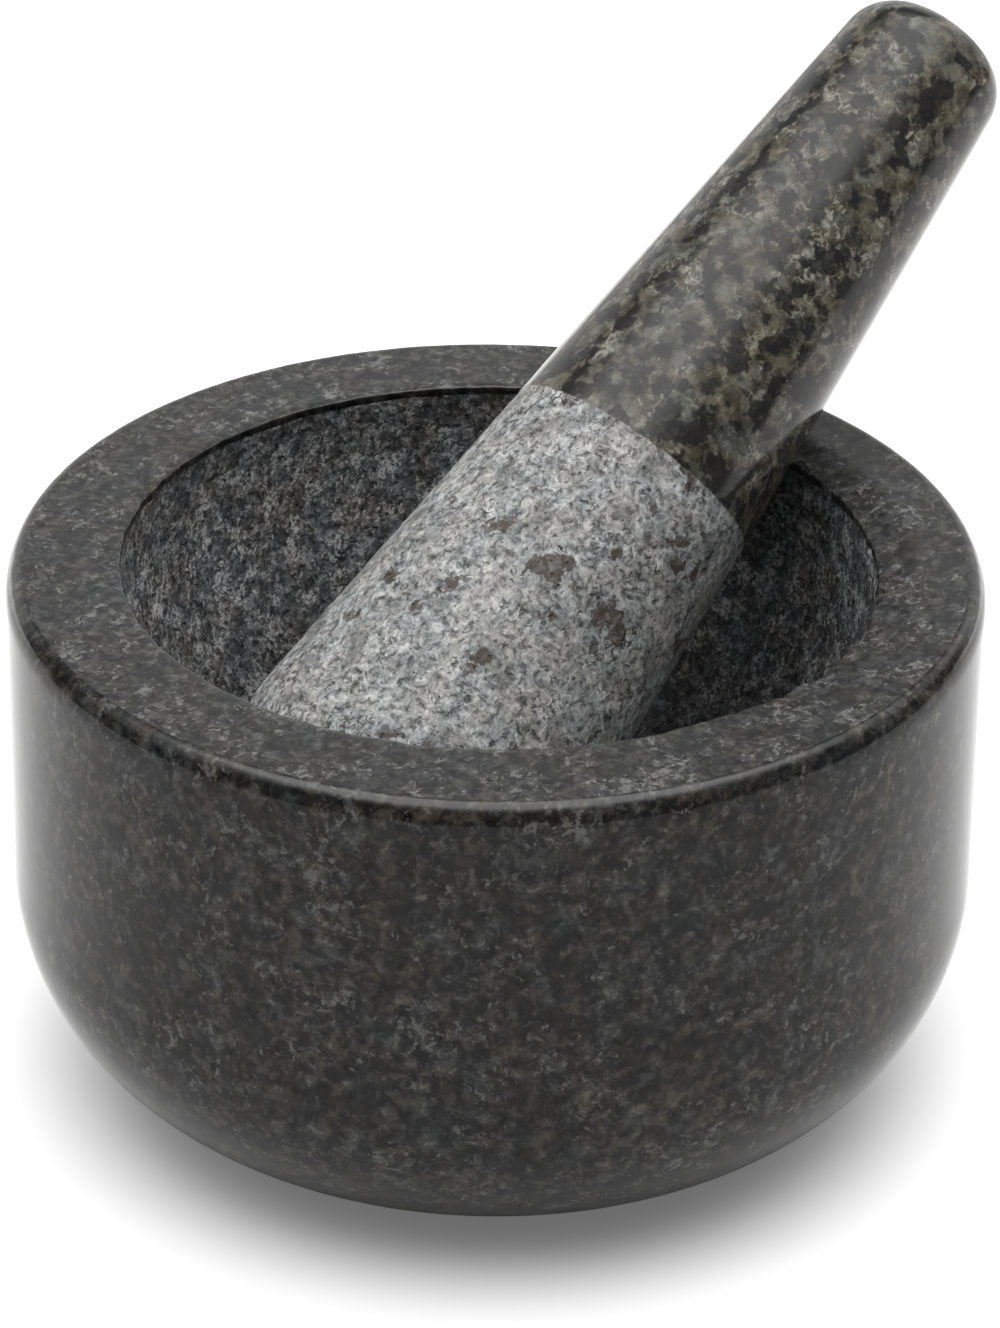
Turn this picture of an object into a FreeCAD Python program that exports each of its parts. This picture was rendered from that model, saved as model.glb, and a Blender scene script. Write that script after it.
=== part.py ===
"""Granite molcajete: a turned stone bowl and the loose stone pestle that leans in it.

Millimetres, +Z up. The origin is the centre of the flat base that the bowl stands on, and the
pestle leans towards +X. Each size is a named cell of the sheet Sizes. Whatever follows from how
the pestle fits the bowl is a formula in the sheet Fit.
"""
import FreeCAD, Part
import math
import os
import Sketcher

V = FreeCAD.Vector

# Ids of a sketch's own origin point and vertical axis, then of the points of an edge.
ROOT_POINT = (-1, 1)
VERTICAL_AXIS = -2
START, END, CENTRE = 1, 2, 3

# Driving sizes: alias, value in millimetres (lean_angle in degrees), what it measures.
SIZES = [
    ("mortar_diameter", 150.0, "outside of the bowl"),
    ("mortar_height", 87.5, "from the table to the rim"),
    ("base_rounding", 36.0, "radius from the upright wall into the flat base"),
    ("rim_rounding", 2.5, "outer edge of the rim"),
    ("mouth_diameter", 114.6, "opening inside the lip"),
    ("lip_band_height", 1.5, "straight band under the lip"),
    ("lip_rounding", 0.5, "inner edge of the rim"),
    ("floor_thickness", 20.0, "stone under the lowest point of the hollow"),
    ("pestle_length", 177.0, "from the tip of the foot to the top of the handle"),
    ("foot_diameter", 54.0, "ball that the pestle grinds with"),
    ("handle_diameter", 26.4, "top of the cone, before its edge is rounded"),
    ("handle_rounding", 8.3, "edge of the handle's top"),
    ("handle_dome_rise", 1.5, "bulge of the handle's top"),
    ("lean_angle", 53.5, "pestle from upright, at rest"),
    ("stone_clearance", 0.3, "pestle to bowl, at the floor and at the lip"),
]

# The hollow is part of a ball centred on the axis. The resting pestle meets the hollow with its
# foot ball and the lip with the underside of its cone, and both together place the foot's centre.
# Angles are measured from upright; cone_* are of the pestle's cone, which is tangent to its foot.
FITS = [
    ("bowl_depth", "Sizes.mortar_height - Sizes.lip_band_height - Sizes.floor_thickness"),
    ("bowl_radius", "((Sizes.mouth_diameter / 2)^2 + bowl_depth^2) / (2 * bowl_depth)"),
    ("bowl_centre_height", "Sizes.floor_thickness + bowl_radius"),
    ("foot_radius", "Sizes.foot_diameter / 2"),
    ("handle_radius", "Sizes.handle_diameter / 2"),
    ("cone_height", "Sizes.pestle_length - foot_radius - Sizes.handle_dome_rise"),
    ("cone_reach", "sqrt(handle_radius^2 + cone_height^2)"),
    ("cone_taper", "atan2(cone_height; handle_radius) - acos(foot_radius / cone_reach)"),
    ("underside_angle", "Sizes.lean_angle * 1deg - cone_taper"),
    ("lip_radius", "Sizes.mouth_diameter / 2 + Sizes.lip_rounding"),
    ("lip_height", "Sizes.mortar_height - Sizes.lip_rounding - bowl_centre_height"),
    ("lip_distance", "foot_radius + Sizes.stone_clearance + Sizes.lip_rounding"),
    ("lip_offset", "lip_radius * cos(underside_angle) - lip_height * sin(underside_angle)"),
    ("foot_orbit", "bowl_radius - foot_radius - Sizes.stone_clearance"),
    ("foot_angle", "underside_angle + acos((lip_offset - lip_distance) / foot_orbit)"),
    ("foot_x", "foot_orbit * cos(foot_angle)"),
    ("foot_z", "bowl_centre_height - foot_orbit * sin(foot_angle)"),
]


def fill_sizes(sheet):
    """Write each driving size as a plain number beside its meaning."""
    for row, (alias, value, meaning) in enumerate(SIZES, start=1):
        sheet.set(f"A{row}", meaning)
        sheet.set(f"B{row}", str(value))
        sheet.setAlias(f"B{row}", alias)


def fill_fits(sheet):
    """Write each derived size as a formula that reads the sizes and the rows above it."""
    for row, (alias, formula) in enumerate(FITS, start=1):
        sheet.set(f"B{row}", f"={formula}")
        sheet.setAlias(f"B{row}", alias)


def origin_plane(body, role):
    """Find one of a body's own origin planes by its role."""
    return next(item for item in body.Origin.OriginFeatures if item.Role == role)


def upright_sketch(body, name):
    """Start a sketch on the body's XZ plane, where the sketch's vertical axis is +Z."""
    sketch = body.newObject("Sketcher::SketchObject", name)
    sketch.AttachmentSupport = (origin_plane(body, "XZ_Plane"), [""])
    sketch.MapMode = "FlatFace"
    return sketch


def bind(sketch, name, constraint, formula):
    """Add a constraint whose value is a formula."""
    index = sketch.addConstraint(constraint)
    sketch.renameConstraint(index, name)
    sketch.setExpression(f"Constraints.{name}", formula)


def join_loop(sketch, edges):
    """Make the end of each edge meet the start of the next, all the way round."""
    for edge, following in zip(edges, edges[1:] + edges[:1]):
        sketch.addConstraint(Sketcher.Constraint("Coincident", edge, END, following, START))


def turn(body, kind, name, sketch):
    """Revolve a sketch once round its vertical axis, to add stone or to cut it away."""
    feature = body.newObject(f"PartDesign::{kind}", name)
    feature.Profile = sketch
    feature.ReferenceAxis = (sketch, ["V_Axis"])
    feature.Angle = 360.0
    return feature


def circle_edges(shape, radius, height):
    """Name the edges of a turned shape that are circles of this radius at this height."""
    names = []
    for number, edge in enumerate(shape.Edges, start=1):
        if edge.Degenerated or not isinstance(edge.Curve, Part.Circle):
            continue
        off_radius = abs(edge.Curve.Radius - radius)
        off_height = abs(edge.Curve.Center.z - height)
        if max(off_radius, off_height) < 1e-4:
            names.append(f"Edge{number}")
    return names


def round_edge(body, name, base, radius, height, formula):
    """Round the circular edge of the base feature at this radius and height."""
    body.Document.recompute()
    feature = body.newObject("PartDesign::Fillet", name)
    feature.Base = (base, circle_edges(base.Shape, radius, height))
    feature.setExpression("Radius", formula)
    return feature


def draw_blank(sketch, sizes):
    """Draw half of the bowl's solid blank: a rectangle with one side on the axis."""
    radius = sizes.mortar_diameter / 2
    corners = [V(0, 0), V(radius, 0), V(radius, sizes.mortar_height), V(0, sizes.mortar_height)]
    sides = list(zip(corners, corners[1:] + corners[:1]))
    base, wall, rim, axis = [sketch.addGeometry(Part.LineSegment(a, b)) for a, b in sides]
    join_loop(sketch, [base, wall, rim, axis])
    sketch.addConstraint(Sketcher.Constraint("Coincident", base, START, *ROOT_POINT))
    for level in (base, rim):
        sketch.addConstraint(Sketcher.Constraint("Horizontal", level))
    for upright in (wall, axis):
        sketch.addConstraint(Sketcher.Constraint("Vertical", upright))
    bind(sketch, "radius", Sketcher.Constraint("DistanceX", base, START, base, END, radius),
         "Sizes.mortar_diameter / 2")
    bind(sketch, "height", Sketcher.Constraint("DistanceY", wall, START, wall, END, sizes.mortar_height),
         "Sizes.mortar_height")


def draw_hollow(sketch, sizes, fit):
    """Draw half of the hollow: a ball's arc from the floor, then the straight band to the rim."""
    radius = sizes.mouth_diameter / 2
    band_foot = sizes.mortar_height - sizes.lip_band_height
    floor = V(0, sizes.floor_thickness)
    mouth = V(radius, band_foot)
    centre = V(0, fit.bowl_centre_height)
    ball = Part.Circle(centre, V(0, 0, 1), fit.bowl_radius)
    mouth_angle = math.atan2(mouth.y - centre.y, mouth.x)
    bowl = sketch.addGeometry(Part.ArcOfCircle(ball, -math.pi / 2, mouth_angle))
    corners = [mouth, V(radius, sizes.mortar_height), V(0, sizes.mortar_height), floor]
    sides = list(zip(corners, corners[1:]))
    band, lid, axis = [sketch.addGeometry(Part.LineSegment(a, b)) for a, b in sides]
    join_loop(sketch, [bowl, band, lid, axis])
    sketch.addConstraint(Sketcher.Constraint("PointOnObject", bowl, CENTRE, VERTICAL_AXIS))
    sketch.addConstraint(Sketcher.Constraint("PointOnObject", bowl, START, VERTICAL_AXIS))
    sketch.addConstraint(Sketcher.Constraint("Vertical", band))
    sketch.addConstraint(Sketcher.Constraint("Horizontal", lid))
    sketch.addConstraint(Sketcher.Constraint("PointOnObject", lid, END, VERTICAL_AXIS))
    bind(sketch, "floor", Sketcher.Constraint("DistanceY", *ROOT_POINT, bowl, START, floor.y),
         "Sizes.floor_thickness")
    bind(sketch, "mouth", Sketcher.Constraint("DistanceX", *ROOT_POINT, bowl, END, radius),
         "Sizes.mouth_diameter / 2")
    bind(sketch, "band", Sketcher.Constraint("DistanceY", band, START, band, END, sizes.lip_band_height),
         "Sizes.lip_band_height")
    bind(sketch, "rim", Sketcher.Constraint("DistanceY", *ROOT_POINT, band, END, sizes.mortar_height),
         "Sizes.mortar_height")


def draw_club(sketch, sizes, fit):
    """Draw half of the pestle about its foot ball's centre: ball, tangent cone and domed top."""
    taper = fit.cone_taper.getValueAs("rad").Value
    foot = Part.Circle(V(0, 0), V(0, 0, 1), fit.foot_radius)
    touch = V(fit.foot_radius * math.cos(taper), fit.foot_radius * math.sin(taper))
    shoulder = V(fit.handle_radius, fit.cone_height)
    tip = V(0, -fit.foot_radius)
    top = V(0, fit.cone_height + sizes.handle_dome_rise)
    halfway = V(shoulder.x / 2, shoulder.y + 0.75 * sizes.handle_dome_rise)
    ball = sketch.addGeometry(Part.ArcOfCircle(foot, -math.pi / 2, taper))
    cone = sketch.addGeometry(Part.LineSegment(touch, shoulder))
    dome = sketch.addGeometry(Part.Arc(shoulder, halfway, top))
    axis = sketch.addGeometry(Part.LineSegment(top, tip))
    sketch.addConstraint(Sketcher.Constraint("Coincident", ball, CENTRE, *ROOT_POINT))
    sketch.addConstraint(Sketcher.Constraint("PointOnObject", ball, START, VERTICAL_AXIS))
    sketch.addConstraint(Sketcher.Constraint("Tangent", ball, END, cone, START))
    # A part circle runs anticlockwise, so the dome starts at the shoulder and ends on the axis.
    sketch.addConstraint(Sketcher.Constraint("Coincident", cone, END, dome, START))
    sketch.addConstraint(Sketcher.Constraint("Coincident", dome, END, axis, START))
    sketch.addConstraint(Sketcher.Constraint("Coincident", axis, END, ball, START))
    sketch.addConstraint(Sketcher.Constraint("PointOnObject", dome, CENTRE, VERTICAL_AXIS))
    sketch.addConstraint(Sketcher.Constraint("PointOnObject", dome, END, VERTICAL_AXIS))
    bind(sketch, "foot", Sketcher.Constraint("Radius", ball, fit.foot_radius), "Fit.foot_radius")
    bind(sketch, "shoulder", Sketcher.Constraint("DistanceX", *ROOT_POINT, cone, END, shoulder.x),
         "Fit.handle_radius")
    bind(sketch, "cone", Sketcher.Constraint("DistanceY", *ROOT_POINT, cone, END, shoulder.y),
         "Fit.cone_height")
    bind(sketch, "rise", Sketcher.Constraint("DistanceY", cone, END, dome, END, sizes.handle_dome_rise),
         "Sizes.handle_dome_rise")


def make_mortar(doc, sizes, fit):
    """Turn the bowl: a solid blank with a rounded foot, hollowed out, then its lip eased."""
    body = doc.addObject("PartDesign::Body", "mortar")
    blank_profile = upright_sketch(body, "blank_profile")
    draw_blank(blank_profile, sizes)
    blank = turn(body, "Revolution", "blank", blank_profile)
    radius = sizes.mortar_diameter / 2
    base = round_edge(body, "rounded_base", blank, radius, 0.0, "Sizes.base_rounding")
    rim = round_edge(body, "rounded_rim", base, radius, sizes.mortar_height, "Sizes.rim_rounding")
    hollow_profile = upright_sketch(body, "hollow_profile")
    draw_hollow(hollow_profile, sizes, fit)
    hollow = turn(body, "Groove", "hollow", hollow_profile)
    mouth = sizes.mouth_diameter / 2
    body.Tip = round_edge(body, "eased_lip", hollow, mouth, sizes.mortar_height, "Sizes.lip_rounding")
    if hollow.Shape.Volume >= rim.Shape.Volume:
        raise RuntimeError("the hollow cut nothing out of the bowl")
    return body


def make_pestle(doc, sizes, fit):
    """Turn the pestle upright about its foot, round its top, then lean it into the bowl."""
    body = doc.addObject("PartDesign::Body", "pestle")
    club_profile = upright_sketch(body, "club_profile")
    draw_club(club_profile, sizes, fit)
    club = turn(body, "Revolution", "club", club_profile)
    body.Tip = round_edge(body, "rounded_top", club, fit.handle_radius, fit.cone_height,
                          "Sizes.handle_rounding")
    body.Placement = FreeCAD.Placement(V(0, 0, 0), FreeCAD.Rotation(V(0, 1, 0), sizes.lean_angle))
    body.setExpression("Placement.Rotation.Angle", "Sizes.lean_angle * 1deg")
    body.setExpression("Placement.Base.x", "Fit.foot_x * 1mm")
    body.setExpression("Placement.Base.z", "Fit.foot_z * 1mm")
    return body


def check(doc, bodies):
    """Stop if any object failed to compute or any piece isn't one valid solid."""
    for item in doc.Objects:
        if "Invalid" in item.State or "Error" in item.State:
            raise RuntimeError(f"{item.Name} failed: {item.State}")
    for body in bodies:
        if body.Shape.isNull() or not body.Shape.isValid() or len(body.Shape.Solids) != 1:
            raise RuntimeError(f"{body.Label} isn't one valid solid")


def write_steps(bodies):
    """Write one STEP file for each piece, named by its label."""
    os.makedirs("parts", exist_ok=True)
    for body in bodies:
        body.Shape.exportStep(f"parts/{body.Label}.step")
        print(f"{body.Label}: {body.Shape.Volume / 1000:.1f} cm3, {body.Shape.BoundBox}")


def main():
    """Build the molcajete and write its two pieces."""
    doc = FreeCAD.newDocument("molcajete")
    sizes = doc.addObject("Spreadsheet::Sheet", "Sizes")
    fill_sizes(sizes)
    doc.recompute()
    fit = doc.addObject("Spreadsheet::Sheet", "Fit")
    fill_fits(fit)
    doc.recompute()
    bodies = [make_mortar(doc, sizes, fit), make_pestle(doc, sizes, fit)]
    doc.recompute()
    check(doc, bodies)
    write_steps(bodies)


main()
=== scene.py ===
"""A granite molcajete: the turned stone bowl, the stone pestle leaning in it, and a pale studio.

Metres, +Z up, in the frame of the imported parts: the origin is the middle of the bowl's flat base
and the pestle leans towards +X. Both stones are turned here at a finer resolution than the parts
they replace, with the rough and chipped surfaces that cut granite has.
"""
from __future__ import annotations

import logging
import math
from dataclasses import dataclass, field, replace
from enum import Enum

import bpy
from mathutils import Matrix, Vector, noise

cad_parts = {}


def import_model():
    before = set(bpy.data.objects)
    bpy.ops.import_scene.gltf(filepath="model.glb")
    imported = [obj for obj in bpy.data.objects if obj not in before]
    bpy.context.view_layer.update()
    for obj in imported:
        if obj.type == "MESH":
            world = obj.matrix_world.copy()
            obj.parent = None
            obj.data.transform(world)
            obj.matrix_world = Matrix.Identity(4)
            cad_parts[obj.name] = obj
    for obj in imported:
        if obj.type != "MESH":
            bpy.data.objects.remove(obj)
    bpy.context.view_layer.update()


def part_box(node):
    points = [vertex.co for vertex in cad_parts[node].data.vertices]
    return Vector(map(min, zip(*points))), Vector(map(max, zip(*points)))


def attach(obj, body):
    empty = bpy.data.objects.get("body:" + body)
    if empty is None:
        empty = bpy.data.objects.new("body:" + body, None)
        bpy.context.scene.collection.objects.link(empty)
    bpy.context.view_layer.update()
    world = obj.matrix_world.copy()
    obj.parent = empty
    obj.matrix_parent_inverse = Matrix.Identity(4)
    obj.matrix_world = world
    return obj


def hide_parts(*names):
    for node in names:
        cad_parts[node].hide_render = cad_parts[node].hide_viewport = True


LOG = logging.getLogger("molcajete")
MM = 0.001

RIGHT_ANGLE = math.pi / 2.0
PLAIN_WHITE = (1.0, 1.0, 1.0, 1.0)
ONLY_MATERIAL = 0

# Tool marks: how wide the coarse and the fine ones are, how much of the depth each makes up, and a
# shift of the fine ones, so that the two patterns don't line up.
COARSE_TOOLING, FINE_TOOLING = 3.1 * MM, 1.4 * MM
COARSE_SHARE, FINE_SHARE = 0.55, 0.45
FINE_SHIFT = Vector((7.3, 1.9, 4.1))

# Soft edges of what is drawn in the stone, in levels of the pattern that draws it.
BLOB_SOFTNESS = 0.02
RUST_SOFTNESS = 0.03
PIT_SOFTNESS = 0.08
FLECK_FROM, FLECK_TO = 0.25, 0.36
VEIN_WIDTH = 0.028

# How much wider a cluster of bright crystals is than a crystal.
CLUSTER_WIDTH = 6.0

Colour = tuple[float, float, float]
Stops = tuple[tuple[float, Colour], ...]
Socket = bpy.types.NodeSocket
Inputs = dict[str | int, object]


class Zone(Enum):
    """The differently finished areas of the bowl, as indices into its materials."""

    BASE = 0
    WALL = 1
    RIM = 2
    BAND = 3
    HOLLOW = 4
    EDGE = 5
    WORN_LIP = 6


@dataclass(frozen=True)
class Ring:
    """One circle of a turned surface.

    Attributes:
        radius: Distance from the axis.
        height: Place along the axis.
        zone: Index of the material between this ring and the next.
        wear: How deep the surface is worn or tooled away here at most.
    """

    radius: float
    height: float
    zone: int
    wear: float = 0.0


def arc(centre: tuple[float, float], radius: float, start: float, end: float,
        steps: int, zone: int, rise: float | None = None) -> list[Ring]:
    """Divide a part circle or oval of a profile into rings.

    Args:
        centre: Radius and height of the arc's middle.
        radius: The arc's own radius.
        start: First angle in radians, 0 outwards and a quarter turn upwards.
        end: Last angle.
        steps: Number of equal divisions.
        zone: Material index of the arc.
        rise: Upward radius of an oval; that of a circle if left out.

    Returns:
        The rings from the first angle up to, and without, the last.
    """
    rise = radius if rise is None else rise
    rings = []
    for step in range(steps):
        angle = start + (end - start) * step / steps
        rings.append(Ring(centre[0] + radius * math.cos(angle),
                          centre[1] + rise * math.sin(angle), zone))
    return rings


def line(start: tuple[float, float], end: tuple[float, float], steps: int,
         zone: int) -> list[Ring]:
    """Divide a straight stretch of a profile into rings.

    Args:
        start: Radius and height where it starts.
        end: Radius and height where it ends.
        steps: Number of equal divisions.
        zone: Material index of the stretch.

    Returns:
        The rings from the start up to, and without, the end.
    """
    rings = []
    for step in range(steps):
        share = step / steps
        radius = start[0] + (end[0] - start[0]) * share
        rings.append(Ring(radius, start[1] + (end[1] - start[1]) * share, zone))
    return rings


def worn(rings: list[Ring], wear: float) -> list[Ring]:
    """Give part of a profile its wear."""
    return [replace(ring, wear=wear) for ring in rings]


def outward(rings: list[Ring], row: int) -> tuple[float, float]:
    """Work out which way a profile faces.

    Args:
        rings: The profile.
        row: Number of the ring.

    Returns:
        The outward direction there, away from the axis and upwards.
    """
    before, after = rings[max(row - 1, 0)], rings[min(row + 1, len(rings) - 1)]
    aside, up = after.height - before.height, before.radius - after.radius
    size = math.hypot(aside, up)
    return aside / size, up / size


def clamped(share: float) -> float:
    """Keep a share between 0 and 1."""
    return min(max(share, 0.0), 1.0)


def eased(share: float) -> float:
    """Let a share start and end gently."""
    return share ** 2 * (3.0 - 2.0 * share)


def tooling(point: Vector) -> float:
    """Say how much of the wear has happened at a place.

    Args:
        point: The place on the stone.

    Returns:
        A share between 0 and 1.
    """
    coarse = noise.noise(point / COARSE_TOOLING)
    fine = noise.noise(point / FINE_TOOLING + FINE_SHIFT)
    return clamped(0.5 + COARSE_SHARE * coarse + FINE_SHARE * fine)


@dataclass(frozen=True)
class Worn:
    """A stretch of the lip that years of use have rounded and roughened.

    Attributes:
        radius: Radius of the lip.
        height: Height of the rim.
        middle: Angle of the middle of the stretch, round the axis from +X.
        half: Half of the angle that the stretch takes up.
        fade: Share of that half over which the wear dies away.
        reach: How far from the lip the wear is felt.
        depth: Stone lost at the lip.
        outwards: Part of the lost depth that is taken away from the axis.
        downwards: Part of it that is taken off the rim's height.
        bare: Least wear that takes the honed finish off.
        uneven: How much the tool marks vary the wear.
    """

    radius: float
    height: float
    middle: float = math.radians(-42.0)
    half: float = math.radians(62.0)
    fade: float = 0.45
    reach: float = 8.0 * MM
    depth: float = 1.7 * MM
    outwards: float = 0.6
    downwards: float = 0.8
    bare: float = 0.25
    uneven: float = 0.5

    def share(self, point: Vector) -> float:
        """Say how worn a place is.

        Args:
            point: The place on the stone.

        Returns:
            A share between 0 and 1.
        """
        away = math.hypot(math.hypot(point.x, point.y) - self.radius, point.z - self.height)
        turned = abs(math.remainder(math.atan2(point.y, point.x) - self.middle, 2.0 * math.pi))
        near = clamped(1.0 - away / self.reach)
        along = clamped((self.half - turned) / (self.fade * self.half))
        return eased(near) * eased(along)

    def apply(self, piece: bpy.types.Object, rough: Zone) -> None:
        """Round the lip and roughen the stone round it.

        Args:
            piece: The bowl.
            rough: The finish that shows where the honed rim has gone.
        """
        for vertex in piece.data.vertices:
            marks = 1.0 + self.uneven * (tooling(vertex.co) - 0.5)
            lost = self.share(vertex.co) * self.depth * marks
            if lost:
                aside = Vector((vertex.co.x, vertex.co.y, 0.0)).normalized()
                vertex.co += lost * (self.outwards * aside - Vector((0.0, 0.0, self.downwards)))
        honed = (Zone.RIM.value, Zone.BAND.value)
        for face in piece.data.polygons:
            if face.material_index in honed:
                if self.share(face.center) > self.bare + self.uneven * tooling(face.center):
                    face.material_index = rough.value


def turn(name: str, rings: list[Ring], segments: int, first_tip: float,
         last_tip: float) -> bpy.types.Object:
    """Turn a profile into a closed mesh round the Z axis.

    Args:
        name: Name of the new object.
        rings: The profile, without its two points on the axis.
        segments: Number of divisions round the axis.
        first_tip: Height of the point on the axis before the first ring.
        last_tip: Height of the point on the axis after the last ring.

    Returns:
        The new object, linked to the scene and shaded smooth.
    """
    angles = [2.0 * math.pi * step / segments for step in range(segments)]
    points = []
    for row, ring in enumerate(rings):
        aside, up = outward(rings, row)
        for angle in angles:
            point = Vector((ring.radius * math.cos(angle), ring.radius * math.sin(angle),
                            ring.height))
            if ring.wear:
                depth = ring.wear * tooling(point)
                point -= depth * Vector((aside * math.cos(angle), aside * math.sin(angle), up))
            points.append(point)
    first, last = len(points), len(points) + 1
    points += [(0.0, 0.0, first_tip), (0.0, 0.0, last_tip)]
    faces, zones = [], []
    for row, ring in enumerate(rings[:-1]):
        for column in range(segments):
            following = (column + 1) % segments
            low, high = row * segments, (row + 1) * segments
            faces.append((low + column, low + following, high + following, high + column))
            zones.append(ring.zone)
    top = (len(rings) - 1) * segments
    for column in range(segments):
        following = (column + 1) % segments
        faces.append((first, following, column))
        zones.append(rings[0].zone)
        faces.append((last, top + column, top + following))
        zones.append(rings[-1].zone)
    mesh = bpy.data.meshes.new(name)
    mesh.from_pydata(points, [], faces)
    mesh.polygons.foreach_set("material_index", zones)
    mesh.polygons.foreach_set("use_smooth", [True] * len(faces))
    mesh.update()
    piece = bpy.data.objects.new(name, mesh)
    bpy.context.scene.collection.objects.link(piece)
    return piece


class Graph:
    """Adds and links the nodes of one material or world."""

    def __init__(self, owner: bpy.types.Material | bpy.types.World) -> None:
        """Start with no nodes.

        Args:
            owner: What the nodes belong to.
        """
        self.owner = owner
        owner.use_nodes = True
        self.tree = owner.node_tree
        self.tree.nodes.clear()

    def add(self, kind: str, inputs: Inputs | None = None, **settings: object) -> bpy.types.Node:
        """Add a node, then fill or link its inputs.

        Args:
            kind: The node's type.
            inputs: A value or a socket for each input, by name or number.
            settings: Properties of the node itself.

        Returns:
            The new node.
        """
        node = self.tree.nodes.new(kind)
        for key, value in settings.items():
            setattr(node, key, value)
        for key, value in (inputs or {}).items():
            if isinstance(value, bpy.types.NodeSocket):
                self.tree.links.new(value, node.inputs[key])
            else:
                node.inputs[key].default_value = value
        return node

    def place(self, kind: str = "Object") -> Socket:
        """Give the place of what is shaded, which for a stone is its own and moves with it."""
        return self.add("ShaderNodeTexCoord").outputs[kind]

    def math(self, operation: str, first: object, second: object = 0.0) -> Socket:
        """Combine two numbers.

        Args:
            operation: Blender's name of the operation.
            first: A number or socket.
            second: A number or socket.

        Returns:
            The result.
        """
        return self.add("ShaderNodeMath", {0: first, 1: second}, operation=operation).outputs[0]

    def vectors(self, operation: str, inputs: Inputs, output: str | int = 0) -> Socket:
        """Combine or measure vectors.

        Args:
            operation: Blender's name of the operation.
            inputs: The vectors and numbers, by name or number.
            output: Which of its results to give, "Value" where that is a number.

        Returns:
            The result.
        """
        return self.add("ShaderNodeVectorMath", inputs, operation=operation).outputs[output]

    def height(self, place: Socket) -> Socket:
        """Measure how high a place is."""
        return self.add("ShaderNodeSeparateXYZ", {0: place}).outputs["Z"]

    def along(self, place: Socket, way: Vector) -> Socket:
        """Measure how far a place is along a direction."""
        return self.vectors("DOT_PRODUCT", {0: place, 1: way}, "Value")

    def noise(self, place: Socket, grain: float, detail: float = 4.0, rough: float = 0.6) -> Socket:
        """Cloudy variation between 0 and 1.

        Args:
            place: Where on the stone.
            grain: Size of the largest clouds.
            detail: Number of finer octaves.
            rough: Strength of the finer octaves.

        Returns:
            The variation.
        """
        inputs = {"Vector": place, "Scale": 1.0 / grain, "Detail": detail, "Roughness": rough}
        return self.add("ShaderNodeTexNoise", inputs).outputs["Fac"]

    def step(self, value: Socket, low: float, high: float, bottom: float = 0.0,
             top: float = 1.0) -> Socket:
        """Turn a variation into a mask with a soft edge.

        Args:
            value: The variation.
            low: Value at and below which the mask is at the bottom.
            high: Value at and above which the mask is at the top.
            bottom: The mask's lowest number.
            top: The mask's highest number.

        Returns:
            The mask.
        """
        inputs = {"Value": value, "From Min": low, "From Max": high,
                  "To Min": bottom, "To Max": top}
        node = self.add("ShaderNodeMapRange", inputs, interpolation_type="SMOOTHSTEP")
        return node.outputs["Result"]

    def ramp(self, value: Socket, stops: Stops) -> Socket:
        """Colour a variation by its level.

        Args:
            value: The variation.
            stops: Levels and their colours, from low to high.

        Returns:
            The colour.
        """
        node = self.add("ShaderNodeValToRGB", {0: value})
        node.color_ramp.interpolation = "EASE"
        elements = node.color_ramp.elements
        ready = len(elements)
        for number, (level, colour) in enumerate(stops):
            stop = elements[number] if number < ready else elements.new(level)
            stop.position = level
            stop.color = opaque(colour)
        return node.outputs["Color"]

    def mix(self, share: object, first: object, second: object, blend: str = "MIX") -> Socket:
        """Blend two colours.

        Args:
            share: Amount of the second colour.
            first: A colour or socket.
            second: A colour or socket.
            blend: Blender's name of the way of blending.

        Returns:
            The blended colour.
        """
        inputs = {0: share, 6: opaque(first), 7: opaque(second)}
        return self.add("ShaderNodeMix", inputs, data_type="RGBA", blend_type=blend).outputs[2]

    def tint(self, share: float, colour: Socket, tint: Socket) -> Socket:
        """Multiply a colour by a tint.

        Args:
            share: Strength of the tint.
            colour: The colour.
            tint: What it is multiplied by.

        Returns:
            The tinted colour.
        """
        return self.mix(share, colour, tint, "MULTIPLY")

    def warp(self, place: Socket, grain: float, amount: float) -> Socket:
        """Push places about, so that what is drawn there gets ragged outlines.

        Args:
            place: Where on the stone.
            grain: Size of the pushes' pattern.
            amount: How far they push.

        Returns:
            The moved place.
        """
        inputs = {"Vector": place, "Scale": 1.0 / grain, "Detail": 2.0}
        pushes = self.add("ShaderNodeTexNoise", inputs).outputs["Color"]
        centred = self.vectors("SUBTRACT", {0: pushes, 1: (0.5, 0.5, 0.5)})
        scaled = self.vectors("SCALE", {0: centred, "Scale": amount})
        return self.vectors("ADD", {0: place, 1: scaled})

    def bump(self, height: Socket, depth: float, below: Socket | None = None) -> Socket:
        """Raise and lower the surface a little.

        Args:
            height: Height between 0 and 1.
            depth: Height that 1 stands for, in metres.
            below: Normal of coarser bumps under this one.

        Returns:
            The bumped normal.
        """
        inputs: Inputs = {"Height": height, "Distance": depth, "Strength": 1.0}
        if below is not None:
            inputs["Normal"] = below
        return self.add("ShaderNodeBump", inputs).outputs["Normal"]

    def finish(self, colour: Socket, roughness: object, normal: Socket,
               surface: Surface) -> bpy.types.Material:
        """Close the material with its shader.

        Args:
            colour: The stone's colour.
            roughness: The surface's roughness.
            normal: The bumped normal.
            surface: The finish whose gloss the shader takes.

        Returns:
            The finished material.
        """
        shader = self.add("ShaderNodeBsdfPrincipled", {"Base Color": colour, "Roughness": roughness,
                                                       "Normal": normal, "IOR": surface.ior})
        self.add("ShaderNodeOutputMaterial", {"Surface": shader.outputs[0]})
        return self.owner


def opaque(colour: object) -> object:
    """Give a plain colour its fourth number, and leave a socket as it is."""
    return colour if isinstance(colour, bpy.types.NodeSocket) else (*colour, 1.0)


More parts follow.
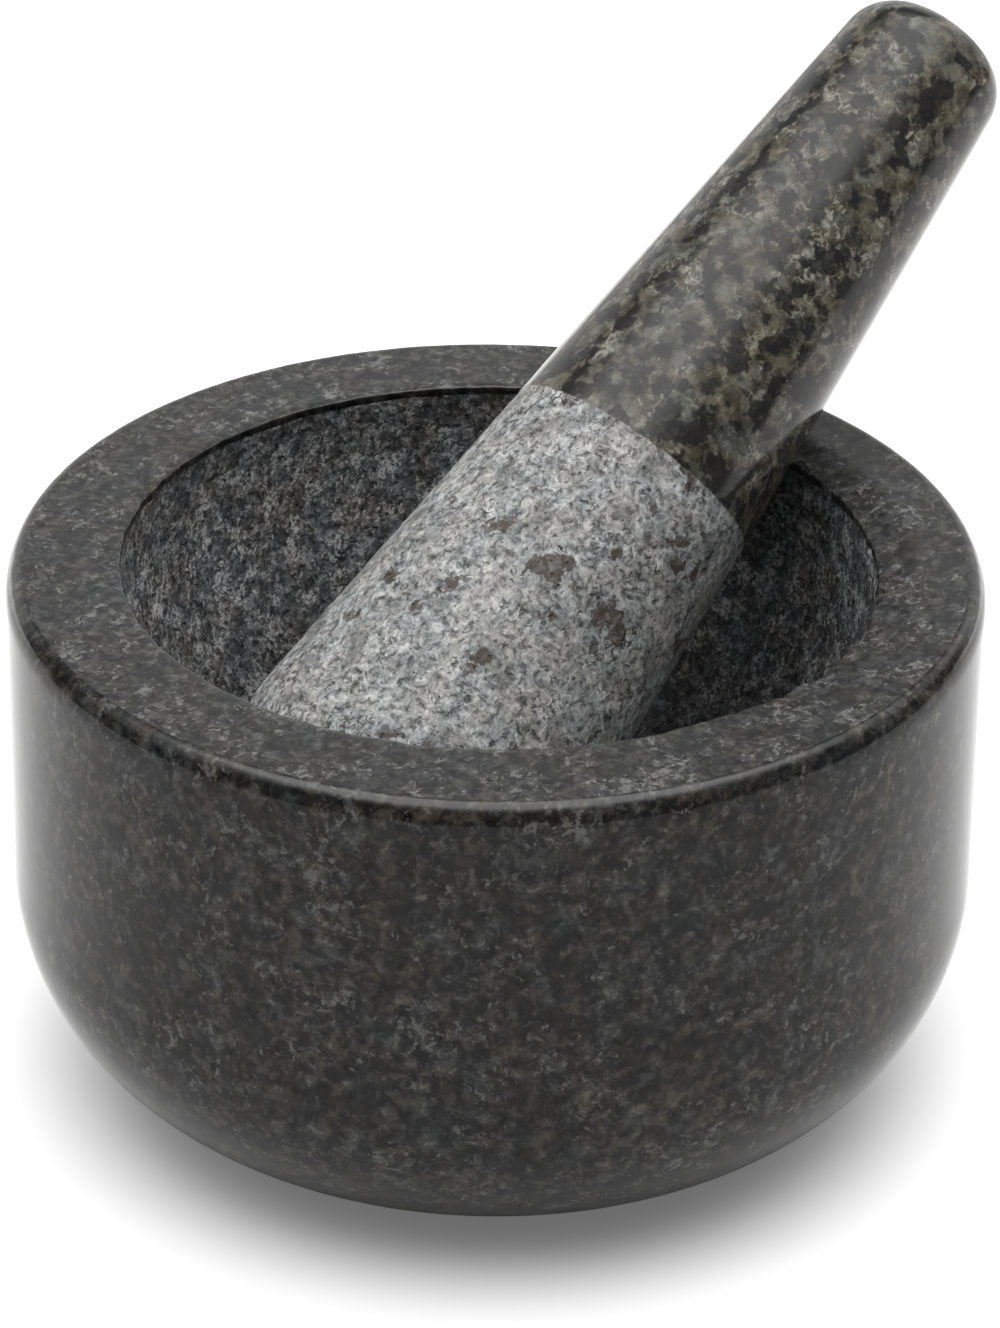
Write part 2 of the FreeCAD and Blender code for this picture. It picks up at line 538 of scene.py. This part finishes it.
@dataclass(frozen=True)
class Minerals:
    """What a stone's cut face shows: the colours and sizes of its crystals.

    Attributes:
        ground: Colours of the ground mass, from its darkest level to its lightest.
        ground_grain: Size of the ground mass's clouds.
        blob: Colour of the large dark crystals.
        blob_grain: Size of the large dark crystals.
        blob_level: Level above which they show; lower shows more of them.
        blob_share: How strongly they cover the ground mass.
        blob_edge: Softness of their edges.
        warm: Colour of the olive and brown clouds.
        cool: Colour of the bluish clouds.
        tint_share: Strength of those clouds.
        fleck: Colour of the small bright crystals.
        fleck_grain: Size of a bright crystal.
        fleck_level: Level above which they show; lower shows more of them.
        vein: How strongly the thin bright veins show.
        rust: Colour of the iron stains.
        rust_level: Level above which stains show; lower shows more of them.
        rust_grain: Size of the stains.
    """

    ground: Stops
    ground_grain: float
    blob: Colour
    blob_grain: float
    blob_level: float
    blob_share: float
    warm: Colour
    cool: Colour
    tint_share: float
    fleck: Colour
    fleck_grain: float
    fleck_level: float
    blob_edge: float = 0.08
    vein: float = 0.0
    rust: Colour = (0.06, 0.04, 0.03)
    rust_level: float = 0.80
    rust_grain: float = 4.5 * MM


@dataclass(frozen=True)
class Surface:
    """How a face was finished, and any shade painted on it towards the table.

    Attributes:
        name: Name of its material.
        minerals: The colours that this finish brings out.
        roughness: Lowest and highest roughness.
        pit_depth: Depth of the small pits.
        pit_grain: Spacing of the small pits.
        pit_level: Level below which the surface is pitted; higher makes more pits.
        pit_dark: How much darker the stone is in a pit.
        painted_low_shade: How much painted shade darkens the stone towards the table.
        low_from: Height at which the painted shade is darkest.
        low_to: Height at which the painted shade ends and the stone is as light as elsewhere.
        low_rough: Roughness that is added towards the table.
        grit_depth: Height of the finest roughness.
        grit_grain: Size of the finest roughness.
        ior: Refractive index, which sets the gloss.
    """

    name: str
    minerals: Minerals
    roughness: tuple[float, float]
    pit_depth: float = 0.08 * MM
    pit_grain: float = 1.6 * MM
    pit_level: float = 0.20
    pit_dark: float = 0.5
    painted_low_shade: float = 0.0
    low_from: float = 28.0 * MM
    low_to: float = 78.0 * MM
    low_rough: float = 0.0
    grit_depth: float = 0.004 * MM
    grit_grain: float = 0.5 * MM
    ior: float = 1.36

    def colour(self, graph: Graph, place: Socket) -> Socket:
        """Lay the minerals over each other, then paint the shade towards the table.

        Args:
            graph: The material being built.
            place: Where on the stone.

        Returns:
            The stone's colour.
        """
        kinds = self.minerals
        ragged = graph.warp(place, grain=2.4 * MM, amount=2.2 * MM)
        ground = graph.noise(ragged, kinds.ground_grain, detail=6.0, rough=0.68)
        clouds = graph.noise(ragged, grain=6.0 * MM, detail=3.0, rough=0.55)
        tints = graph.ramp(clouds, ((0.36, kinds.warm), (0.64, kinds.cool)))
        colour = graph.tint(kinds.tint_share, graph.ramp(ground, kinds.ground), tints)
        colour = graph.mix(self.flecks(graph, ragged), colour, kinds.fleck)
        colour = graph.mix(self.blobs(graph, place), colour, kinds.blob)
        colour = graph.mix(self.stains(graph, ragged), colour, kinds.rust)
        colour = graph.tint(self.pit_dark, colour, self.pits(graph, place))
        # Painted shade: darker towards the table, most at low_from, none from low_to up.
        if not self.painted_low_shade:
            return colour
        light = graph.step(graph.height(place), self.low_from, self.low_to)
        return graph.tint(self.painted_low_shade, colour, light)

    def blobs(self, graph: Graph, place: Socket) -> Socket:
        """Scatter the large dark crystals.

        Args:
            graph: The material being built.
            place: Where on the stone.

        Returns:
            How much of a dark crystal shows.
        """
        kinds = self.minerals
        ragged = graph.warp(place, grain=1.1 * MM, amount=1.3 * MM)
        blobs = graph.noise(ragged, kinds.blob_grain, detail=2.4, rough=0.55)
        return graph.step(blobs, kinds.blob_level - BLOB_SOFTNESS,
                          kinds.blob_level + kinds.blob_edge, top=kinds.blob_share)

    def stains(self, graph: Graph, place: Socket) -> Socket:
        """Scatter the iron stains, mottled inside their outlines.

        Args:
            graph: The material being built.
            place: Where on the stone.

        Returns:
            How much of a stain shows.
        """
        kinds = self.minerals
        rust = graph.noise(place, kinds.rust_grain, detail=4.5, rough=0.66)
        stains = graph.step(rust, kinds.rust_level, kinds.rust_level + RUST_SOFTNESS)
        mottle = graph.step(graph.noise(place, grain=1.1 * MM, detail=3.0), low=0.40, high=0.58)
        return graph.math("MULTIPLY", stains, graph.step(mottle, 0.0, 1.0, bottom=0.7))

    def flecks(self, graph: Graph, place: Socket) -> Socket:
        """Scatter the small bright crystals in clusters, with thin veins among them.

        Args:
            graph: The material being built.
            place: Where on the stone.

        Returns:
            How much of a bright crystal shows.
        """
        kinds = self.minerals
        crystals = graph.noise(place, kinds.fleck_grain, detail=4.0, rough=0.72)
        clusters = graph.noise(place, CLUSTER_WIDTH * kinds.fleck_grain, detail=2.0)
        level = graph.math("ADD", crystals, graph.math("MULTIPLY", clusters, 0.5))
        flecks = graph.step(level, kinds.fleck_level + FLECK_FROM, kinds.fleck_level + FLECK_TO)
        if not kinds.vein:
            return flecks
        folds = graph.noise(place, grain=3.4 * MM, detail=2.0, rough=0.5)
        away = graph.math("ABSOLUTE", graph.math("SUBTRACT", folds, 0.5))
        veins = graph.step(away, VEIN_WIDTH, 0.0, top=kinds.vein)
        veins = graph.math("MULTIPLY", veins, graph.step(clusters, low=0.45, high=0.6))
        return graph.math("MAXIMUM", flecks, veins)

    def pits(self, graph: Graph, place: Socket) -> Socket:
        """Scatter small pits.

        Args:
            graph: The material being built.
            place: Where on the stone.

        Returns:
            1 where the surface is whole, down to 0 in a pit.
        """
        pattern = graph.noise(place, self.pit_grain, detail=3.0)
        return graph.step(pattern, self.pit_level, self.pit_level + PIT_SOFTNESS)

    def relief(self, graph: Graph, place: Socket) -> Socket:
        """Pit and roughen the surface.

        Args:
            graph: The material being built.
            place: Where on the stone.

        Returns:
            The bumped normal.
        """
        grit = graph.noise(place, self.grit_grain, detail=2.0)
        pitted = graph.bump(self.pits(graph, place), self.pit_depth)
        return graph.bump(grit, self.grit_depth, pitted)

    def material(self) -> bpy.types.Material:
        """Build the finish's material.

        Returns:
            The finished material.
        """
        graph = Graph(bpy.data.materials.new(self.name))
        place = graph.place()
        patches = graph.noise(place, grain=1.5 * MM, detail=3.0)
        lowest, highest = self.roughness
        roughness = graph.step(patches, low=0.3, high=0.7, bottom=lowest, top=highest)
        if self.low_rough:
            dull = graph.step(graph.height(place), self.low_to, self.low_from, top=self.low_rough)
            roughness = graph.math("ADD", roughness, dull)
        colour = self.colour(graph, place)
        return graph.finish(colour, roughness, self.relief(graph, place), self)


WALL_MINERALS = Minerals(
    ground=((0.33, (0.004, 0.004, 0.0045)), (0.46, (0.014, 0.014, 0.0142)),
            (0.57, (0.037, 0.036, 0.034)), (0.72, (0.10, 0.098, 0.092))),
    ground_grain=2.3 * MM,
    blob=(0.008, 0.008, 0.009), blob_grain=4.5 * MM, blob_level=0.51, blob_share=0.65,
    warm=(1.0, 0.88, 0.70), cool=(0.90, 0.97, 1.0), tint_share=0.9,
    fleck=(0.088, 0.088, 0.083), fleck_grain=1.5 * MM, fleck_level=0.56,
    rust=(0.024, 0.018, 0.013), rust_level=0.66,
)
RIM_MINERALS = Minerals(
    ground=((0.33, (0.010, 0.010, 0.0105)), (0.46, (0.024, 0.024, 0.024)),
            (0.57, (0.047, 0.047, 0.045)), (0.72, (0.105, 0.105, 0.102))),
    ground_grain=1.9 * MM,
    blob=(0.014, 0.014, 0.015), blob_grain=4.0 * MM, blob_level=0.52, blob_share=0.6,
    warm=(1.0, 0.92, 0.80), cool=(0.94, 0.98, 1.0), tint_share=0.7,
    fleck=(0.13, 0.13, 0.127), fleck_grain=1.1 * MM, fleck_level=0.56,
    rust=(0.035, 0.028, 0.022), rust_level=0.68,
)
HOLLOW_MINERALS = Minerals(
    ground=((0.33, (0.026, 0.027, 0.029)), (0.46, (0.115, 0.118, 0.124)),
            (0.57, (0.26, 0.265, 0.275)), (0.70, (0.56, 0.56, 0.56))),
    ground_grain=1.1 * MM,
    blob=(0.045, 0.045, 0.048), blob_grain=2.6 * MM, blob_level=0.52, blob_share=0.65,
    warm=(1.0, 0.90, 0.78), cool=(0.88, 0.96, 1.0), tint_share=0.7,
    fleck=(0.60, 0.60, 0.595), fleck_grain=0.7 * MM, fleck_level=0.52,
    rust=(0.06, 0.05, 0.04), rust_level=0.68,
)
HANDLE_MINERALS = Minerals(
    ground=((0.32, (0.022, 0.021, 0.017)), (0.45, (0.056, 0.053, 0.044)),
            (0.57, (0.102, 0.100, 0.086)), (0.70, (0.19, 0.188, 0.165))),
    ground_grain=2.8 * MM,
    blob=(0.0115, 0.0118, 0.0135), blob_grain=3.6 * MM, blob_level=0.475, blob_share=0.86,
    blob_edge=0.09,
    warm=(1.0, 0.88, 0.71), cool=(0.90, 0.97, 0.97), tint_share=0.8,
    fleck=(0.23, 0.226, 0.19), fleck_grain=1.5 * MM, fleck_level=0.58, vein=0.7,
    rust=(0.05, 0.034, 0.022), rust_level=0.66,
)
FOOT_MINERALS = Minerals(
    ground=((0.31, (0.022, 0.023, 0.023)), (0.42, (0.12, 0.123, 0.125)),
            (0.52, (0.275, 0.278, 0.28)), (0.67, (0.50, 0.503, 0.50))),
    ground_grain=1.25 * MM,
    blob=(0.060, 0.062, 0.056), blob_grain=5.0 * MM, blob_level=0.535, blob_share=0.5,
    blob_edge=0.14,
    warm=(1.0, 0.95, 0.87), cool=(0.93, 0.98, 1.0), tint_share=0.6,
    fleck=(0.52, 0.52, 0.51), fleck_grain=0.7 * MM, fleck_level=0.58,
    rust=(0.060, 0.046, 0.036), rust_level=0.595, rust_grain=6.0 * MM,
)

# Painted shade: the wall darkens towards its foot, in place of the shadowed table it mirrors.
POLISHED_WALL = Surface("polished_wall", WALL_MINERALS, roughness=(0.05, 0.11), ior=1.23,
                        painted_low_shade=0.75, low_from=0.0, low_to=24.0 * MM, low_rough=0.5)
POLISHED_EDGE = Surface("polished_edge", WALL_MINERALS, roughness=(0.10, 0.18), ior=1.42)
HONED_RIM = Surface("honed_rim", RIM_MINERALS, roughness=(0.26, 0.40), ior=1.31,
                    pit_depth=0.2 * MM, pit_level=0.23, grit_depth=0.012 * MM)
ROUGH_LIP = replace(HONED_RIM, name="rough_lip", roughness=(0.45, 0.65), ior=1.25,
                    pit_depth=0.25 * MM, pit_level=0.34, grit_depth=0.05 * MM)
# Painted shade: the hollow darkens towards its floor, where less light reaches.
GROUND_HOLLOW = Surface("ground_hollow", HOLLOW_MINERALS, roughness=(0.5, 0.7), ior=1.3,
                        pit_depth=0.30 * MM, pit_level=0.36, pit_grain=1.2 * MM,
                        grit_depth=0.06 * MM, painted_low_shade=0.9)
POLISHED_HANDLE = Surface("polished_handle", HANDLE_MINERALS, roughness=(0.12, 0.2), ior=1.33)
HONED_FOOT = Surface("honed_foot", FOOT_MINERALS, roughness=(0.55, 0.7),
                     pit_depth=0.2 * MM, pit_level=0.32, pit_grain=1.4 * MM,
                     grit_depth=0.05 * MM)


@dataclass
class Mortar:
    """The stone bowl.

    Attributes:
        radius: Outside radius.
        height: From the table to the rim.
        hub: Radius of the first ring round the middle of the base.
        base_rounding: Radius from the wall into the base.
        rim_rounding: How far in the rounding of the rim's outer edge goes.
        rim_drop: How far down it goes.
        rim_turn: Angle up that rounding at which the wall's polish ends.
        mouth_radius: Opening inside the lip.
        band_height: Straight band under the lip.
        lip_rounding: Radius of the rim's inner edge.
        floor: Stone under the hollow's lowest point.
        edge_wear: Unevenness of the rim's outer edge.
        rim_wear: Unevenness of the rim.
        lip_wear: Raggedness of the lip.
        hollow_wear: Depth of the tooling in the hollow.
        hollow_tip: Angle left open at the middle of the hollow.
        segments: Divisions round the axis.
    """

    radius: float
    height: float
    hub: float = 2.0 * MM
    base_rounding: float = 36.0 * MM
    rim_rounding: float = 2.7 * MM
    rim_drop: float = 4.6 * MM
    rim_turn: float = 0.4 * RIGHT_ANGLE
    mouth_radius: float = 57.3 * MM
    band_height: float = 1.5 * MM
    lip_rounding: float = 0.5 * MM
    floor: float = 20.0 * MM
    edge_wear: float = 0.06 * MM
    rim_wear: float = 0.03 * MM
    lip_wear: float = 0.35 * MM
    hollow_wear: float = 0.45 * MM
    hollow_tip: float = 0.02
    segments: int = 500

    def profile(self) -> list[Ring]:
        """Follow the section from the middle of the base, up the wall and into the hollow.

        Returns:
            The rings, from the base to the hollow's floor.
        """
        flat = self.radius - self.base_rounding
        bend = self.height - self.rim_drop
        edge = self.radius - self.rim_rounding
        under_lip = self.height - self.lip_rounding
        lip = self.mouth_radius + self.lip_rounding
        band_foot = self.height - self.band_height
        depth = band_foot - self.floor
        ball = (self.mouth_radius ** 2 + depth ** 2) / (2.0 * depth)
        centre = self.floor + ball
        mouth_angle = math.asin((band_foot - centre) / ball)

        rings = line((self.hub, 0.0), (flat, 0.0), steps=10, zone=Zone.BASE.value)
        rings += arc((flat, self.base_rounding), self.base_rounding, -RIGHT_ANGLE, 0.0, steps=40,
                     zone=Zone.WALL.value)
        rings += line((self.radius, self.base_rounding), (self.radius, bend), steps=26,
                      zone=Zone.WALL.value)
        rings += arc((edge, bend), self.rim_rounding, 0.0, self.rim_turn, steps=6,
                     zone=Zone.WALL.value, rise=self.rim_drop)
        rings += worn(arc((edge, bend), self.rim_rounding, self.rim_turn, RIGHT_ANGLE, steps=10,
                          zone=Zone.EDGE.value, rise=self.rim_drop), self.edge_wear)
        rings += worn(line((edge, self.height), (lip, self.height), steps=24,
                           zone=Zone.RIM.value), self.rim_wear)
        rings += worn(arc((lip, under_lip), self.lip_rounding, RIGHT_ANGLE, math.pi, steps=5,
                          zone=Zone.BAND.value), self.lip_wear)
        rings += worn(line((self.mouth_radius, under_lip), (self.mouth_radius, band_foot), steps=3,
                           zone=Zone.BAND.value), self.lip_wear)
        rings += worn(arc((0.0, centre), ball, mouth_angle, self.hollow_tip - RIGHT_ANGLE,
                          steps=96, zone=Zone.HOLLOW.value), self.hollow_wear)
        return rings

    def build(self) -> bpy.types.Object:
        """Turn the bowl, give each zone its finish and wear its lip.

        Returns:
            The bowl.
        """
        piece = turn("mortar_stone", self.profile(), self.segments, 0.0, self.floor)
        finishes = {
            Zone.BASE: POLISHED_WALL,
            Zone.WALL: POLISHED_WALL,
            Zone.RIM: HONED_RIM,
            Zone.BAND: POLISHED_EDGE,
            Zone.HOLLOW: GROUND_HOLLOW,
            Zone.EDGE: POLISHED_EDGE,
            Zone.WORN_LIP: ROUGH_LIP,
        }
        for zone in Zone:
            piece.data.materials.append(finishes[zone].material())
        Worn(self.mouth_radius, self.height).apply(piece, Zone.WORN_LIP)
        return piece


@dataclass
class Pestle:
    """The stone club that leans in the bowl.

    Attributes:
        foot_centre: Middle of the foot's ball.
        foot_radius: Radius of the foot's ball.
        length: From the foot's tip to the handle's top.
        handle_radius: Radius at the cone's top end.
        handle_rounding: Radius of the top's edge.
        dome_rise: Bulge of the top.
        lean: Angle from upright.
        honed_length: From the foot's tip to where the polish starts.
        polish_edge: Width of the line where it starts.
        polish_wander: How far that line wanders.
        foot_wear: Depth of the honed foot's roughness.
        foot_tip: Angle left open at the foot's tip.
        top_tip: Angle left open at the middle of the top.
        segments: Divisions round the axis.
    """

    foot_centre: Vector
    foot_radius: float
    length: float = 177.0 * MM
    handle_radius: float = 13.2 * MM
    handle_rounding: float = 8.3 * MM
    dome_rise: float = 1.5 * MM
    lean: float = math.radians(53.5)
    honed_length: float = 89.0 * MM
    polish_edge: float = 0.4 * MM
    polish_wander: float = 0.6 * MM
    foot_wear: float = 0.22 * MM
    foot_tip: float = 0.04
    top_tip: float = 0.01
    segments: int = 220

    def profile(self) -> list[Ring]:
        """Follow the section from the foot's tip to the top, about the foot's middle.

        Returns:
            The rings, from the tip to the top.
        """
        cone = self.length - self.foot_radius - self.dome_rise
        taper = math.atan2(cone, self.handle_radius) - math.acos(
            self.foot_radius / math.hypot(cone, self.handle_radius))
        touch = (self.foot_radius * math.cos(taper), self.foot_radius * math.sin(taper))
        honed_end = self.honed_length - self.foot_radius
        honed_radius = self.foot_radius / math.cos(taper) - honed_end * math.tan(taper)
        outward_way = Vector((math.cos(taper), math.sin(taper)))
        upward_way = Vector((-math.sin(taper), math.cos(taper)))
        dome = (self.handle_radius ** 2 + self.dome_rise ** 2) / (2.0 * self.dome_rise)
        dome_centre = Vector((0.0, cone + self.dome_rise - dome))
        # The rounding's middle slides up along the cone until it just fits inside the dome.
        corner = Vector((self.handle_radius, cone)) - outward_way * self.handle_rounding
        reach = (corner - dome_centre).dot(upward_way)
        inside = (dome - self.handle_rounding) ** 2 - (corner - dome_centre).length_squared
        corner += upward_way * (math.sqrt(reach ** 2 + inside) - reach)
        shoulder = corner + outward_way * self.handle_rounding
        dome_angle = math.atan2(corner.y - dome_centre.y, corner.x)

        rings = worn(arc((0.0, 0.0), self.foot_radius, self.foot_tip - RIGHT_ANGLE, taper,
                         steps=46, zone=ONLY_MATERIAL), self.foot_wear)
        rings += worn(line(touch, (honed_radius, honed_end), steps=80, zone=ONLY_MATERIAL),
                      self.foot_wear)
        rings += line((honed_radius, honed_end), tuple(shoulder), steps=70, zone=ONLY_MATERIAL)
        rings += arc(tuple(corner), self.handle_rounding, taper, dome_angle, steps=20,
                     zone=ONLY_MATERIAL)
        rings += arc(tuple(dome_centre), dome, dome_angle, RIGHT_ANGLE - self.top_tip, steps=10,
                     zone=ONLY_MATERIAL)
        return rings

    def build(self) -> bpy.types.Object:
        """Turn the pestle, lean it into the bowl and finish its two ends.

        Returns:
            The pestle.
        """
        piece = turn("pestle_stone", self.profile(), self.segments, -self.foot_radius,
                     self.length - self.foot_radius)
        place = Matrix.Translation(self.foot_centre) @ Matrix.Rotation(self.lean, 4, "Y")
        piece.data.transform(place)
        piece.data.materials.append(self.material())
        return piece

    def material(self) -> bpy.types.Material:
        """Blend the honed foot into the polished handle at the line where the polish starts.

        Returns:
            The finished material.
        """
        graph = Graph(bpy.data.materials.new("pestle_granite"))
        place = graph.place()
        axis = Vector((math.sin(self.lean), 0.0, math.cos(self.lean)))
        edge = axis.dot(self.foot_centre) + self.honed_length - self.foot_radius
        wander = graph.math("MULTIPLY", graph.noise(place, grain=2.0 * MM), self.polish_wander)
        along = graph.math("ADD", graph.along(place, axis), wander)
        polish = graph.step(along, edge, edge + self.polish_edge)
        colour = graph.mix(polish, HONED_FOOT.colour(graph, place),
                           POLISHED_HANDLE.colour(graph, place))
        roughness = graph.step(polish, 0.0, 1.0, HONED_FOOT.roughness[0],
                               POLISHED_HANDLE.roughness[0])
        reliefs = {0: polish, 4: HONED_FOOT.relief(graph, place),
                   5: POLISHED_HANDLE.relief(graph, place)}
        normal = graph.add("ShaderNodeMix", reliefs, data_type="VECTOR").outputs[1]
        return graph.finish(colour, roughness, normal, POLISHED_HANDLE)


@dataclass
class Studio:
    """A white table on a white floor, a wide soft light above it and a white backdrop behind.

    Attributes:
        table: Radius of the table.
        near: Distance at which painted shade starts on the table, as seen in the polished stone.
        floor: Half width of the floor, which doesn't show in the polished stone.
        sunk: How far the floor lies under the table.
        paint: Colour of both.
        far_shade: Colour of the painted shade on the far table, seen only in the polished stone.
        glow: Light that the white surfaces give off by themselves.
        room: Brightness of the room.
        spill: Brightness of the light's outer part.
        spill_edge: Heights between which that part comes up, as the sine of the angle.
        top: Brightness that the light's middle adds.
        top_edge: Heights between which the middle comes up.
        backdrop: Brightness of the backdrop.
        behind: Direction of the backdrop.
        backdrop_sides: Cosines of the angles from its middle between which it comes up.
        backdrop_top: Heights between which it ends.
        lamps: Direction and brightness of each smaller soft light.
        lamp_edge: Cosines of the angles from its middle between which such a light comes up.
    """

    table: float = 1.5
    near: float = 0.5
    floor: float = 4.0
    sunk: float = 0.2 * MM
    paint: Colour = (0.9, 0.9, 0.9)
    far_shade: Colour = (0.02, 0.02, 0.02)
    glow: float = 0.14
    room: float = 0.06
    spill: float = 1.0
    spill_edge: tuple[float, float] = (0.60, 0.80)
    top: float = 3.15
    top_edge: tuple[float, float] = (0.76, 0.94)
    backdrop: float = 0.9
    behind: Vector = field(default_factory=lambda: Vector((0.717, 0.697, 0.0)))
    backdrop_sides: tuple[float, float] = (0.55, 0.74)
    backdrop_top: tuple[float, float] = (0.40, 0.62)
    lamps: tuple[tuple[Vector, float], ...] = (
        (Vector((0.741, -0.117, 0.66)), 0.8),
        (Vector((-0.502, 0.516, 0.69)), 0.7),
    )
    lamp_edge: tuple[float, float] = (0.86, 0.97)

    def build(self) -> None:
        """Set up the table, the floor, the light and the backdrop."""
        white = self.white()
        bpy.ops.mesh.primitive_circle_add(vertices=128, radius=self.table, fill_type="NGON")
        self.dress("table_top", white)
        bpy.ops.mesh.primitive_plane_add(size=2.0 * self.floor, location=(0.0, 0.0, -self.sunk))
        self.dress("floor", white).visible_glossy = False
        bpy.context.scene.world = self.light()
        bpy.context.scene.view_settings.view_transform = "Standard"

    def dress(self, name: str, white: bpy.types.Material) -> bpy.types.Object:
        """Name the surface that was just made and paint it.

        Args:
            name: Its name.
            white: Its paint.

        Returns:
            The surface.
        """
        surface = bpy.context.object
        surface.name = name
        surface.data.materials.append(white)
        return surface

    def white(self) -> bpy.types.Material:
        """Mix the matt white of the table and the floor, with painted shade far off.

        Returns:
            The paint.
        """
        graph = Graph(bpy.data.materials.new("matt_white"))
        away = graph.vectors("LENGTH", {0: graph.place()}, "Value")
        gloss = graph.add("ShaderNodeLightPath").outputs["Is Glossy Ray"]
        # Painted shade: in the polished stone, the table darkens further from the bowl.
        far_shade = graph.math("MULTIPLY", graph.step(away, self.near, self.table), gloss)
        paint = graph.add("ShaderNodeBsdfPrincipled", {
            "Base Color": graph.mix(far_shade, self.paint, self.far_shade),
            "Roughness": 1.0,
            "Specular IOR Level": 0.0,
            "Emission Color": PLAIN_WHITE,
            "Emission Strength": graph.step(far_shade, 0.0, 1.0, self.glow, 0.0),
        })
        graph.add("ShaderNodeOutputMaterial", {"Surface": paint.outputs[0]})
        return graph.owner

    def light(self) -> bpy.types.World:
        """Give each direction its brightness: the light above, the backdrop and the dim room.

        Returns:
            The studio's world, which is plain white to the camera.
        """
        graph = Graph(bpy.data.worlds.new("studio"))
        way = graph.place("Generated")
        height = graph.height(way)
        backdrop = graph.math(
            "MULTIPLY",
            graph.step(graph.along(way, self.behind), *self.backdrop_sides, top=self.backdrop),
            graph.step(height, *self.backdrop_top, bottom=1.0, top=0.0))
        total = graph.step(height, *self.spill_edge, self.room, self.room + self.spill)
        parts = [graph.step(height, *self.top_edge, top=self.top), backdrop]
        parts += [graph.step(graph.along(way, towards), *self.lamp_edge, top=brightness)
                  for towards, brightness in self.lamps]
        for part in parts:
            total = graph.math("ADD", total, part)
        seen = graph.add("ShaderNodeLightPath").outputs["Is Camera Ray"]
        glow = graph.add("ShaderNodeBackground", {"Color": PLAIN_WHITE,
                                                  "Strength": graph.math("MAXIMUM", total, seen)})
        graph.add("ShaderNodeOutputWorld", {"Surface": glow.outputs[0]})
        return graph.owner


@dataclass
class Camera:
    """A long lens above the rim's height, turned so that the pestle leans away to the right.

    Attributes:
        azimuth: Turn round the bowl from the -Y side.
        elevation: Height above the table, as an angle.
        aim: Point in the middle of the view, before the shift.
        distance: From that point.
        roll: Tilt of the picture.
        lens: Focal length in millimetres.
        sensor: Width of the sensor in millimetres.
        shift: Upward shift of the picture.
        nearest: Distance within which nothing shows.
    """

    azimuth: float = math.radians(-45.82)
    elevation: float = math.radians(30.37)
    aim: Vector = field(default_factory=lambda: Vector((0.00066, -0.00068, 0.05672)))
    distance: float = 0.8955
    roll: float = math.radians(0.837)
    lens: float = 155.96
    sensor: float = 36.0
    shift: float = 0.05
    nearest: float = 0.01

    def build(self) -> None:
        """Create the camera and make it the scene's own."""
        data = bpy.data.cameras.new("camera")
        data.lens = self.lens
        data.sensor_width = self.sensor
        data.shift_y = self.shift
        data.clip_start = self.nearest
        camera = bpy.data.objects.new("camera", data)
        back = Vector((math.sin(self.azimuth) * math.cos(self.elevation),
                       -math.cos(self.azimuth) * math.cos(self.elevation),
                       math.sin(self.elevation)))
        place = Matrix.Translation(self.aim + back * self.distance)
        turned = back.to_track_quat("Z", "Y").to_matrix().to_4x4()
        camera.matrix_world = place @ turned @ Matrix.Rotation(self.roll, 4, "Z")
        bpy.context.scene.collection.objects.link(camera)
        bpy.context.scene.camera = camera


def main() -> None:
    """Build the two stones and the studio, and report each piece."""
    Camera().build()
    Studio().build()
    low, high = (Vector(corner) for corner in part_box("mortar"))
    mortar = Mortar(radius=(high.x - low.x) / 2.0, height=high.z).build()
    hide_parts("mortar")
    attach(mortar, "mortar")
    LOG.info("mortar: %d faces", len(mortar.data.polygons))
    low, high = (Vector(corner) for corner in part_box("pestle"))
    foot = (high.y - low.y) / 2.0
    pestle = Pestle(foot_centre=Vector((low.x + foot, 0.0, low.z + foot)), foot_radius=foot).build()
    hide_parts("pestle")
    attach(pestle, "pestle")
    LOG.info("pestle: %d faces", len(pestle.data.polygons))


if __name__ == "__main__":
    logging.basicConfig(level=logging.INFO)
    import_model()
    main()
